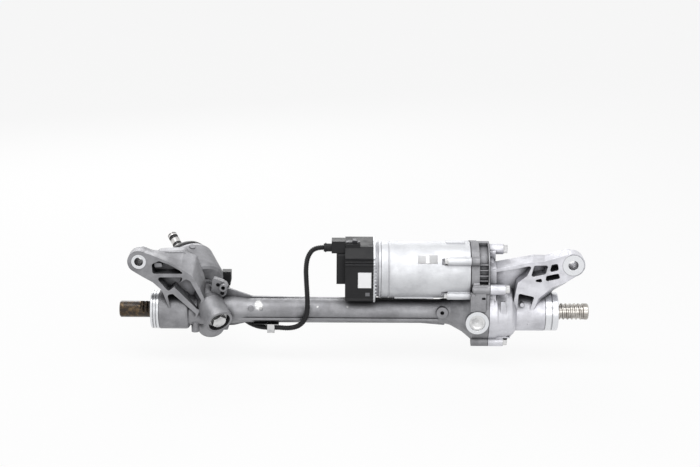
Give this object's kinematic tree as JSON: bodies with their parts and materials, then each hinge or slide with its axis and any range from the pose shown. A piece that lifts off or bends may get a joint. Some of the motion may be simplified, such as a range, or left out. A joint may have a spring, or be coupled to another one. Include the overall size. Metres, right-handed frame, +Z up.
{
  "type": "electric power steering rack",
  "caption": "Belt-driven electric power steering rack with pinion gearbox, ball screw, motor, control unit and two ribbed mounting ears.",
  "frame": {"origin": "left mounting bore's axis at the front face of its ear", "axes": "+X along the rack to the ball screw end, -Y to the front of the unit along the mounting bores, +Z up"},
  "size_m": [0.773, 0.1827, 0.179],
  "materials": {
    "cast_aluminium": "sand-blasted die casting",
    "machined_aluminium": "turned",
    "motor_aluminium": "satin",
    "ground_steel": "ground",
    "dark_steel": "greased and dark",
    "zinc_steel": "zinc plated",
    "bearing_steel": "polished",
    "black_plastic": "moulded",
    "black_rubber": "moulded",
    "conduit_plastic": "corrugated",
    "board_green": "lacquered board",
    "lamination_steel": "stacked sheet"
  },
  "bodies": {
    "housing": {"bearing_lock_ring": "ground_steel", "circuit_board": "board_green", "connector_clip": "zinc_steel", "dust_seal": "black_rubber", "ecu_connector_block": "black_plastic", "ecu_cover": "black_plastic", "ecu_flange": "cast_aluminium", "gear_housing": "cast_aluminium", "harness_clip": "black_plastic", "harness_connector": "black_plastic", "housing_bolts": "zinc_steel", "input_bearing": "bearing_steel", "inspection_plug": "zinc_steel", "motor_bolts": "zinc_steel", "motor_front_bearing": "bearing_steel", "motor_housing": "motor_aluminium", "motor_rear_bearing": "bearing_steel", "motor_seal": "black_rubber", "motor_stator": "lamination_steel", "nut_bearing_outer": "bearing_steel", "pinion_end_plug": "zinc_steel", "pinion_lower_bearing": "bearing_steel", "pinion_upper_bearing": "bearing_steel", "rack_bush": "black_plastic", "rack_housing": "cast_aluminium", "rack_yoke": "dark_steel", "sensor_connector": "black_plastic", "sensor_cover": "black_plastic", "sensor_harness": "conduit_plastic", "toothed_belt": "black_rubber", "torque_sensor": "black_plastic", "yoke_plug": "zinc_steel", "yoke_spring": "dark_steel"},
    "rack": {"rack_bar": "dark_steel", "ball_screw": "ground_steel"},
    "ball_nut": {"ball_nut": "ground_steel", "nut_balls": "bearing_steel", "nut_pulley": "zinc_steel", "nut_bearing_inner": "bearing_steel", "nut_bearing_balls": "bearing_steel"},
    "pinion": {"pinion_shaft": "ground_steel", "torsion_bar": "ground_steel"},
    "input_shaft": {"input_shaft": "ground_steel"},
    "motor_rotor": {"motor_rotor": "lamination_steel", "motor_shaft": "ground_steel", "motor_pulley": "zinc_steel"}
  },
  "joints": [
    {"name": "ball_nut_spin", "type": "hinge", "parent": "housing", "child": "ball_nut", "pos_m": [0.5775, 0.03, -0.09], "axis": [1, 0, 0], "range_deg": [-3857, 3857]},
    {"name": "rack_slide", "type": "slide", "parent": "housing", "child": "rack", "axis": [1, 0, 0], "range_m": [-0.075, 0.075]},
    {"name": "pinion_turn", "type": "hinge", "parent": "housing", "child": "pinion", "pos_m": [0.111, 0.02104, -0.07555], "axis": [-0.433, 0.766, 0.475], "range_deg": [-538, 538]},
    {"name": "motor_spin", "type": "hinge", "parent": "housing", "child": "motor_rotor", "pos_m": [0.47, 0.034, -0.02], "axis": [1, 0, 0], "range_deg": [-10500, 10500]},
    {"name": "input_twist", "type": "hinge", "parent": "pinion", "child": "input_shaft", "pos_m": [0.06337, 0.10531, -0.0233], "axis": [-0.433, 0.766, 0.475], "range_deg": [-5, 5], "stiffness_Nm_per_rad": 1}
  ],
  "couplings": [
    {"joint": "rack_slide", "follows": "ball_nut_spin", "m_per_rad": -0.0011141},
    {"joint": "pinion_turn", "follows": "ball_nut_spin", "ratio": 0.13926},
    {"joint": "motor_spin", "follows": "ball_nut_spin", "ratio": 2.7143}
  ]
}
